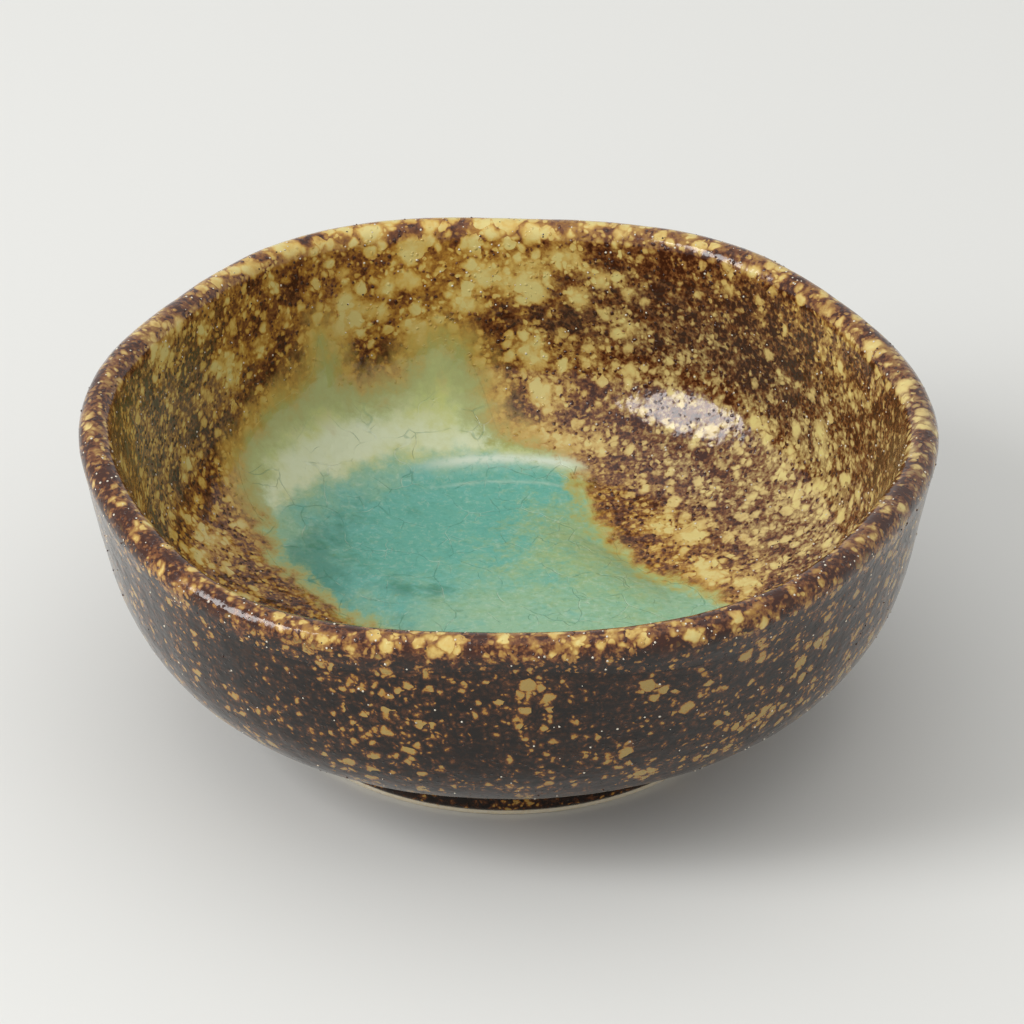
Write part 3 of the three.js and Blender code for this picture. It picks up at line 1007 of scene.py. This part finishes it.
def amber_relief(points):
    """How far the amber glaze rises and falls over its even height."""
    rise = layered(points, AMBER_LAYERS)
    for turn, away, height, reach_round, reach_up, swell in GLAZE_SWELLS:
        angle = math.radians(turn)
        middle = WHEEL + np.array([away * math.cos(angle), away * math.sin(angle), height]) * MM
        apart = points - middle
        along = apart @ np.array([-math.sin(angle), math.cos(angle), 0.0])
        across = np.maximum(np.sum(apart**2, axis=-1) - along**2, 0.0)
        spread = (along / (reach_round * MM)) ** 2 + across / (reach_up * MM) ** 2
        rise = rise + swell * np.exp(-spread)
    return rise * MM


def whole_skin(sizes):
    """The skin from the floor's centre over the lip to the foot, and where its lip begins and ends."""
    inner = inside_skin(sizes)
    lip = lip_skin(sizes)
    outer = outside_skin(sizes)
    skin = joined(inner, lip, outer)
    ways = skin.ways()
    lip_start = ways[len(inner.half) - 1]
    lip_end = ways[len(inner.half) + len(lip.half)]
    return skin, lip_start, lip_end


def drip_edge(turns, sizes, lip_end):
    """How far along the skin the amber glaze reaches down outside, at each turn."""
    return lip_end + sizes.drip_length + waves(DRIP_WAVES, turns)


def surface_rows(turns, even_ways, drip_shares, edge, lip_end):
    """The ways of a grid's rows: even ones round the bowl, and then some that lead down to the drips."""
    even = np.repeat(even_ways[:, None], len(turns), axis=1)
    drips = lip_end + drip_shares[:, None] * (edge - lip_end)[None]
    return np.concatenate([even, drips])


def grid_on(skin, turns, ways, rise):
    """Points at ways along the skin that may differ from turn to turn, lifted off the clay."""
    places = skin.at(ways.ravel())
    spread = np.broadcast_to(turns, ways.shape).ravel()
    rises = np.broadcast_to(rise, ways.shape).ravel()
    section = places.centre + places.out * (places.half + rises)[:, None]
    radius = section[:, 0] + places.give * waves(RIM_WAVES, spread) + places.lean * waves(BELLY_WAVES, spread)
    height = section[:, 1] + places.give * waves(HEIGHT_WAVES, spread)
    points = np.column_stack([radius * np.cos(spread), radius * np.sin(spread), height]) + WHEEL
    return points.reshape(*ways.shape, 3)


def glass_grid(sizes, turns, ways):
    """The upper and under side of the melted glass, a film over the amber glaze that levels in the well."""
    skin, lip_start, _ = whole_skin(sizes)
    amber = sizes.amber_coat + amber_relief(grid_on(skin, turns, ways, 0.0))
    wet = wet_depth(turns, ways, lip_start)
    film = 0.04 * MM + 0.42 * MM * smooth_step(wet, 0, 5 * MM)
    top = grid_on(skin, turns, ways, amber + film)
    level = floor_top(sizes) + sizes.glass_depth
    blend = 0.5 * MM
    levelled = level + blend * np.logaddexp(0, (top[..., 2] - level) / blend)
    top[..., 2] += (levelled - top[..., 2]) * smooth_step(wet, 0, 9 * MM)
    sunk = 0.2 * MM
    return top, grid_on(skin, turns, ways, amber - sunk)


def dish(name, bottom, top, marks, poles, ways):
    """A closed coat with a hidden under side and a visible upper side, both in rings from the middle out."""
    grid = np.concatenate([bottom, top[::-1]])
    tables = {}
    for mark, values in marks.items():
        hidden = np.repeat(values[:1], len(bottom), axis=0)
        tables[mark] = np.concatenate([hidden, values[::-1]])
    bands = disc_bands(ways.mean(axis=1)[::-1], len(bottom), True)
    return closed_mesh(name, grid, tables, poles, bands)


class BowlOperator(bpy.types.Operator):
    """What all the bowl's operators share"""

    bl_options = {"REGISTER", "UNDO"}

    @classmethod
    def poll(cls, context):
        return context.scene is not None


class BOWL_OT_inside(BowlOperator):
    """Make the amber glaze over the inside and the lip"""

    bl_idname = "bowl.inside"
    bl_label = "Inside Glaze"

    def execute(self, context):
        sizes = context.scene.bowl_sizes
        skin, lip_start, lip_end = whole_skin(sizes)
        turns = even_turns(512)
        edge = drip_edge(turns, sizes, lip_end)
        # Rings are evenly spaced up to the lip's outer side, and then follow the drips
        even_ways = np.linspace(0, lip_end, 124)[1:]
        drip_shares = np.append(np.linspace(0, 1, 9)[1:-1], [0.99, 1.0])
        over = surface_rows(turns, even_ways, drip_shares, edge, lip_end)
        taper = smooth_step(edge - over, 0, 2.2 * MM)
        brown = sizes.brown_coat + 0.03 * MM
        relief = amber_relief(grid_on(skin, turns, over, 0.0))
        top = grid_on(skin, turns, over, brown + (sizes.amber_coat - brown) * taper + relief * taper)
        hidden_ways = np.linspace(0, lip_end, 14)[1:]
        under = surface_rows(turns, hidden_ways, np.array([0.5, 1.0]), edge, lip_end)
        sunk = 0.1 * MM
        taper = smooth_step(edge - under, 0, 4 * MM)
        bottom = grid_on(skin, turns, under, (sizes.brown_coat + 0.01 * MM) * (1 - taper) + sunk * taper)
        marks = glaze_marks(np.broadcast_to(turns, over.shape), over, top, lip_start, lip_end)
        dry = smooth_step(-marks["wet"], 1.0, 3.0) * smooth_step(edge - over, 0, 1.5 * MM)
        marks["grit"] = dry * (0.42 + 0.3 * marks["lip"]) * (1.0 - marks["smooth"])
        low = WHEEL + np.array([0, 0, floor_top(sizes)])
        high = sizes.amber_coat + amber_relief(low[None])[0]
        poles = (low + np.array([0, 0, sunk]), low + np.array([0, 0, high]))
        piece = dish("glaze_inside", bottom, top, marks, poles, over)
        material = inside_glaze("amber glaze", context.scene.bowl_colours)
        own(piece, material, "amber_glaze", "amber_glaze_inside")
        return {"FINISHED"}


class BOWL_OT_pool(BowlOperator):
    """Make the pool of turquoise glass in the well"""

    bl_idname = "bowl.pool"
    bl_label = "Glass Pool"

    def execute(self, context):
        sizes = context.scene.bowl_sizes
        _, lip_start, lip_end = whole_skin(sizes)
        turns = even_turns(448)
        edge = pool_edge(turns, lip_start)
        shares = np.append(np.linspace(0, 1, 97)[1:-1], [0.9995, 1.0])
        over = shares[:, None] * edge[None]
        under = np.linspace(0, 1, 13)[1:, None] * edge[None]
        spread = np.broadcast_to(turns, over.shape)
        top, _ = glass_grid(sizes, spread, over)
        _, bottom = glass_grid(sizes, np.broadcast_to(turns, under.shape), under)
        marks = glaze_marks(spread, over, top, lip_start, lip_end)
        poles = (bottom[0].mean(axis=0), top[0].mean(axis=0))
        piece = dish("glass_pool", bottom, top, marks, poles, over)
        material = inside_glaze("turquoise glass", context.scene.bowl_colours, crackled=True)
        own(piece, material, "turquoise_glass", "turquoise_glass_pool")
        return {"FINISHED"}


class BOWL_OT_run(BowlOperator):
    """Make the pale green run up the back of the inside"""

    bl_idname = "bowl.run"
    bl_label = "Green Run"

    def execute(self, context):
        sizes = context.scene.bowl_sizes
        _, lip_start, lip_end = whole_skin(sizes)
        first, last = math.radians(RUN_EDGE[0][0]), math.radians(RUN_EDGE[-1][0])
        turns = np.linspace(first, last, 260)[1:-1]
        low = pool_edge(turns, lip_start)
        high = np.maximum(edge_ways(RUN_EDGE, turns, lip_start, False), low + 0.05 * MM)
        # Each ring goes up the run's visible side and back down its hidden one
        shares = np.concatenate([[0.0, 0.001], np.linspace(0, 1, 72)[1:-1], [0.999, 1.0]])
        over = low[:, None] + shares[None] * (high - low)[:, None]
        under = low[:, None] + np.linspace(1, 0, 12)[None] * (high - low)[:, None]
        over_turns = np.broadcast_to(turns[:, None], over.shape)
        top, _ = glass_grid(sizes, over_turns, over)
        _, bottom = glass_grid(sizes, np.broadcast_to(turns[:, None], under.shape), under)
        tables = {}
        for mark, values in glaze_marks(over_turns, over, top, lip_start, lip_end).items():
            hidden = np.repeat(values[:, :1], under.shape[1], axis=1)
            tables[mark] = np.concatenate([values, hidden], axis=1)
        grid = np.concatenate([top, bottom], axis=1)
        poles = (grid[0].mean(axis=0), grid[-1].mean(axis=0))
        piece = closed_mesh("green_run", grid, tables, poles)
        material = inside_glaze("green glaze", context.scene.bowl_colours, crackled=True)
        own(piece, material, "green_glaze", "green_glaze_run")
        return {"FINISHED"}


class BOWL_OT_outside(BowlOperator):
    """Make the brown glaze over the outside and the foot's wall"""

    bl_idname = "bowl.outside"
    bl_label = "Outside Glaze"

    def execute(self, context):
        sizes = context.scene.bowl_sizes
        skin, _, lip_end = whole_skin(sizes)
        turns = even_turns(576)
        start = drip_edge(turns, sizes, lip_end) - 0.8 * MM
        end = skin.ways()[-1]
        over = start[None] + np.linspace(0, 1, 110)[:, None] * (end - start)[None]
        under = start[None] + np.linspace(0, 1, 10)[:, None] * (end - start)[None]
        relief = layered(grid_on(skin, turns, over, 0.0), BROWN_LAYERS) * MM
        settle = smooth_step(over - start, 0, 4 * MM) * smooth_step(end - over, 0.5 * MM, 5 * MM)
        rounded = smooth_step(end - over, -0.1 * MM, 0.6 * MM)
        thin = 0.12 * MM
        rise = sizes.brown_coat + relief * settle
        top = grid_on(skin, turns, over, thin + (rise - thin) * rounded)
        bottom = grid_on(skin, turns, under, 0.1 * MM)
        grid = np.concatenate([bottom, top[::-1]])
        ways = np.concatenate([under, over[::-1]])
        below_lip = ways - lip_end
        grit = np.concatenate([np.zeros_like(under), 0.14 * smooth_step(end - over[::-1], 2 * MM, 6 * MM)])
        spread = np.broadcast_to(turns, ways.shape)
        crowd = patch_sum(CROWD_PATCHES, spread, below_lip, from_wheel(grid))
        marks = {"below_lip": below_lip / MM, "way": ways / MM, "grit": grit, "crowd": crowd}
        bands = disc_bands((end + 30 * MM - over.mean(axis=1))[::-1], len(under), False)
        bands.append((HIDDEN_DISC, 0.0005, 0.001))
        piece = closed_mesh("glaze_outside", grid, marks, None, bands)
        own(piece, outside_glaze(context.scene.bowl_colours), "brown_glaze", "brown_glaze_outside")
        return {"FINISHED"}


class BOWL_OT_underfoot(BowlOperator):
    """Make the thin brown glaze inside the foot ring"""

    bl_idname = "bowl.underfoot"
    bl_label = "Glaze Under the Foot"

    def execute(self, context):
        sizes = context.scene.bowl_sizes
        reach = sizes.foot_radius - sizes.foot_width - sizes.foot_taper - 0.05 * MM
        turns = even_turns(192)
        radii = np.linspace(0, reach, 49)[1:, None]
        height = np.full((len(radii), len(turns)), floor_bottom(sizes))
        flat = np.stack([radii * np.cos(turns), radii * np.sin(turns), height], axis=-1) + WHEEL
        corner = 0.8 * MM * smooth_step(radii, reach - 1.8 * MM, reach) ** 2
        bottom = flat.copy()
        bottom[..., 2] -= 0.35 * MM + layered(flat, UNDERFOOT_LAYERS) * MM + corner
        # The hidden side lies a little way up in the clay
        top = flat[[8, 28, 47]]
        top[..., 2] += 0.1 * MM
        grid = np.concatenate([bottom, top[::-1]])
        poles = (bottom[0].mean(axis=0), top[0].mean(axis=0))
        marks = {"below_lip": np.full(grid.shape[:2], 40.0)}
        piece = closed_mesh("underfoot_glaze", grid, marks, poles)
        own(piece, outside_glaze(context.scene.bowl_colours), "brown_glaze", "glaze_under_foot")
        return {"FINISHED"}


class Shape(Nodes):
    """Makes a geometry node tree with named inputs, each given with its kind."""

    def __init__(self, name, **kinds):
        super().__init__(bpy.data.node_groups.new(name, "GeometryNodeTree"))
        sockets = self.tree.interface
        sockets.new_socket("Geometry", in_out="OUTPUT", socket_type="NodeSocketGeometry")
        for socket_name, kind in kinds.items():
            sockets.new_socket(socket_name, in_out="INPUT", socket_type=f"NodeSocket{kind}")
        self.inputs = self.tree.nodes.new("NodeGroupInput").outputs

    def number(self, name):
        return Value(self, self.inputs[name])

    def ended(self, geometry):
        """The tree, which makes instances real and gives everything its material and smooth shading."""
        real = self.node("GeometryNodeRealizeInstances", {"Geometry": geometry}).outputs[0]
        values = {"Geometry": real, "Material": self.inputs["Material"]}
        dressed = self.node("GeometryNodeSetMaterial", values).outputs[0]
        smooth = self.node("GeometryNodeSetShadeSmooth", {"Geometry": dressed}).outputs[0]
        self.node("NodeGroupOutput", {"Geometry": smooth})
        return self.tree


def foot_tree():
    """A node tree that sweeps the foot's rounded profile round the wheel's axis and roughens it a little."""
    shape = Shape(
        "turned foot",
        Radius="Float",
        Width="Float",
        Taper="Float",
        Top="Float",
        Edge="Float",
        Middle="Vector",
        Unevenness="Float",
        Material="Material",
    )
    top = shape.number("Top") * -1.0
    half = shape.number("Width") * 0.5
    wide = half + shape.number("Taper")
    profile = shape.node("GeometryNodeCurvePrimitiveQuadrilateral", mode="POINTS")
    corners = ((half * -1.0, 0.0), (half, 0.0), (wide, top), (wide * -1.0, top))
    for number, (across, up) in enumerate(corners, start=1):
        corner = shape.node("ShaderNodeCombineXYZ", {"X": across, "Y": up})
        shape.feed(profile.inputs[f"Point {number}"], corner.outputs[0])
    rounding = {"Curve": profile.outputs["Curve"], "Count": 6, "Radius": shape.inputs["Edge"]}
    rounded = shape.node("GeometryNodeFilletCurve", rounding, mode="POLY")
    spacing = {"Curve": rounded.outputs["Curve"], "Length": 0.25 * MM}
    fine = shape.node("GeometryNodeResampleCurve", spacing, mode="LENGTH")
    circle = {"Resolution": 320, "Radius": shape.number("Radius") - half}
    path = shape.node("GeometryNodeCurvePrimitiveCircle", circle, mode="RADIUS")
    curves = {"Curve": path.outputs["Curve"], "Profile Curve": fine.outputs["Curve"]}
    swept = shape.node("GeometryNodeCurveToMesh", curves)
    grain = shape.node("ShaderNodeTexNoise", {"Scale": 1 / (2.5 * MM)}).outputs["Color"]
    sideways = shape.vector("MULTIPLY", shape.vector("SUBTRACT", grain, (0.5, 0.5, 0.5)), (1.0, 1.0, 0.0))
    amount = {0: sideways, "Scale": shape.inputs["Unevenness"]}
    push = shape.node("ShaderNodeVectorMath", amount, operation="SCALE").outputs[0]
    offset = shape.vector("ADD", push, shape.inputs["Middle"])
    placed = shape.node("GeometryNodeSetPosition", {"Geometry": swept.outputs["Mesh"], "Offset": offset})
    return shape.ended(placed.outputs["Geometry"])


def grain_tree():
    """A node tree that scatters small raised grains over a glaze, thickest where its grit mark is high."""
    shape = Shape(
        "glaze grains",
        Geometry="Geometry",
        Density="Float",
        Smallest="Float",
        Largest="Float",
        Seed="Int",
        Material="Material",
    )
    inputs = shape.inputs
    grit = shape.node("GeometryNodeInputNamedAttribute", {"Name": "grit"}).outputs["Attribute"]
    density = Value(shape, grit) * inputs["Density"]
    surface = {"Mesh": inputs["Geometry"], "Density": density, "Seed": inputs["Seed"]}
    scatter = shape.node("GeometryNodeDistributePointsOnFaces", surface).outputs
    grain = shape.node("GeometryNodeMeshIcoSphere", {"Radius": 1.0, "Subdivisions": 1})
    limits = {2: inputs["Smallest"], 3: inputs["Largest"], "Seed": inputs["Seed"]}
    reach = shape.node("FunctionNodeRandomValue", limits).outputs[1]
    placed = {
        "Points": scatter["Points"],
        "Instance": grain.outputs["Mesh"],
        "Rotation": scatter["Rotation"],
        "Scale": shape.vector("MULTIPLY", reach, (1.0, 1.0, 0.7)),
    }
    return shape.ended(shape.node("GeometryNodeInstanceOnPoints", placed).outputs["Instances"])


def made_by_nodes(name, tree, values, start=None):
    """The plain mesh object that a node tree makes with some input values, on a starting mesh if given."""
    holder = bpy.data.objects.new(f"{name} maker", start or bpy.data.meshes.new(f"{name} maker"))
    bpy.context.scene.collection.objects.link(holder)
    modifier = holder.modifiers.new("shape", "NODES")
    modifier.node_group = tree
    for item in tree.interface.items_tree:
        if item.in_out == "INPUT" and item.name in values:
            modifier[item.identifier] = values[item.name]
    evaluated = holder.evaluated_get(bpy.context.evaluated_depsgraph_get())
    mesh = bpy.data.meshes.new_from_object(evaluated)
    bpy.data.objects.remove(holder)
    mesh.name = name
    piece = bpy.data.objects.new(name, mesh)
    bpy.context.scene.collection.objects.link(piece)
    return piece


class BOWL_OT_grains(BowlOperator):
    """Scatter small raised grains over the inside and the outside glaze"""

    bl_idname = "bowl.grains"
    bl_label = "Raised Grains"

    def execute(self, context):
        sizes = context.scene.bowl_sizes
        tree = grain_tree()
        material = grain_glint_material(context.scene.bowl_colours)
        kinds = (
            ("inside_grains", "glaze_inside", "amber_glaze", 3),
            ("outside_grains", "glaze_outside", "brown_glaze", 8),
        )
        for name, glaze, slot, seed in kinds:
            carrier = bpy.data.objects[glaze]
            values = {
                "Density": sizes.grain_density,
                "Smallest": sizes.smallest_grain,
                "Largest": sizes.largest_grain,
                "Seed": seed,
                "Material": material,
            }
            own(made_by_nodes(name, tree, values, carrier.data.copy()), material, slot)
        return {"FINISHED"}


class BOWL_OT_foot(BowlOperator):
    """Make the turned foot ring and give the clay body its bare clay"""

    bl_idname = "bowl.foot"
    bl_label = "Clay and Foot"

    def execute(self, context):
        sizes = context.scene.bowl_sizes
        material = clay_material(context.scene.bowl_colours)
        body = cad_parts["stoneware_body"]
        body.data.materials.clear()
        body.data.materials.append(material)
        values = {
            "Radius": sizes.foot_radius,
            "Width": sizes.foot_width,
            "Taper": sizes.foot_taper,
            "Top": floor_bottom(sizes) + 0.3 * MM,
            "Edge": sizes.foot_edge,
            "Middle": tuple(WHEEL),
            "Unevenness": 0.12 * MM,
            "Material": material,
        }
        foot = made_by_nodes("bare_foot", foot_tree(), values)
        own(foot, material, "stoneware", "foot_ring")
        return {"FINISHED"}


class BOWL_OT_stage(BowlOperator):
    """Make the floor, the lights and the camera"""

    bl_idname = "bowl.stage"
    bl_label = "Stage"

    def execute(self, context):
        look = context.scene.bowl_stage
        scene = context.scene
        scene.view_settings.view_transform = "Standard"
        reach = 3.0
        mesh = bpy.data.meshes.new("floor")
        corners = [(-reach, -reach, 0), (reach, -reach, 0), (reach, reach, 0), (-reach, reach, 0)]
        mesh.from_pydata(corners, [], [(0, 1, 2, 3)])
        floor = bpy.data.objects.new("floor", mesh)
        scene.collection.objects.link(floor)
        mesh.materials.append(floor_material(look))
        key_side = (-0.77, -0.31, 0.58)
        above = (0.0, 0.05, 1.0)
        self.softbox("key light", look.key_power, extent=(0.32, 0.56), towards=key_side, distance=1.0)
        self.softbox("overhead light", look.fill_power, extent=(1.2, 1.2), towards=above, distance=1.2)
        world = bpy.data.worlds.new("sky")
        scene.world = world
        world.use_nodes = True
        background = world.node_tree.nodes["Background"]
        background.inputs["Color"].default_value = (1.0, 1.0, 0.99, 1.0)
        background.inputs["Strength"].default_value = look.sky
        self.camera(scene)
        return {"FINISHED"}

    def softbox(self, name, power, extent, towards, distance):
        """A light of some width and height that faces the bowl from a direction."""
        lamp = bpy.data.lights.new(name, "AREA")
        lamp.shape = "RECTANGLE"
        lamp.size, lamp.size_y = extent
        lamp.energy = power
        light = bpy.data.objects.new(name, lamp)
        bpy.context.scene.collection.objects.link(light)
        direction = Vector(towards).normalized()
        light.location = direction * distance + Vector((0, 0, 0.02))
        light.rotation_euler = direction.to_track_quat("Z", "Y").to_euler()

    def camera(self, scene):
        """The camera looks along +Y and down at the bowl, from the photo's angle and distance."""
        elevation = math.radians(32.32)
        distance = 0.8
        aim = Vector((0.69 * MM, 0.0, 27.18 * MM)) + Vector(WHEEL)
        data = bpy.data.cameras.new("camera")
        data.sensor_width = 36.0
        data.lens = 209.8
        camera = bpy.data.objects.new("camera", data)
        scene.collection.objects.link(camera)
        camera.location = aim + distance * Vector((0, -math.cos(elevation), math.sin(elevation)))
        camera.rotation_euler = (math.pi / 2 - elevation, 0, 0)
        scene.camera = camera


class BOWL_PT_panel(bpy.types.Panel):
    """The bowl's sizes, colours and steps in the sidebar"""

    bl_label = "Glazed Bowl"
    bl_space_type = "VIEW_3D"
    bl_region_type = "UI"
    bl_category = "Bowl"

    def draw(self, context):
        layout = self.layout
        for operator in OPERATORS:
            layout.operator(operator.bl_idname)
        for group in (context.scene.bowl_sizes, context.scene.bowl_colours, context.scene.bowl_stage):
            box = layout.box()
            for name in group.__annotations__:
                box.prop(group, name)


GROUPS = (BowlSizes, GlazeColours, StageLook)
OPERATORS = (
    BOWL_OT_stage,
    BOWL_OT_inside,
    BOWL_OT_pool,
    BOWL_OT_run,
    BOWL_OT_outside,
    BOWL_OT_grains,
    BOWL_OT_foot,
    BOWL_OT_underfoot,
)


def register():
    for each in (*GROUPS, *OPERATORS, BOWL_PT_panel):
        bpy.utils.register_class(each)
    bpy.types.Scene.bowl_sizes = PointerProperty(type=BowlSizes)
    bpy.types.Scene.bowl_colours = PointerProperty(type=GlazeColours)
    bpy.types.Scene.bowl_stage = PointerProperty(type=StageLook)


def unregister():
    del bpy.types.Scene.bowl_stage
    del bpy.types.Scene.bowl_colours
    del bpy.types.Scene.bowl_sizes
    for each in (BOWL_PT_panel, *reversed(OPERATORS), *reversed(GROUPS)):
        bpy.utils.unregister_class(each)


def main():
    register()
    bpy.ops.bowl.stage()
    bpy.ops.bowl.inside()
    bpy.ops.bowl.pool()
    bpy.ops.bowl.run()
    bpy.ops.bowl.outside()
    bpy.ops.bowl.grains()
    bpy.ops.bowl.foot()
    bpy.ops.bowl.underfoot()


if __name__ == "__main__":
    main()
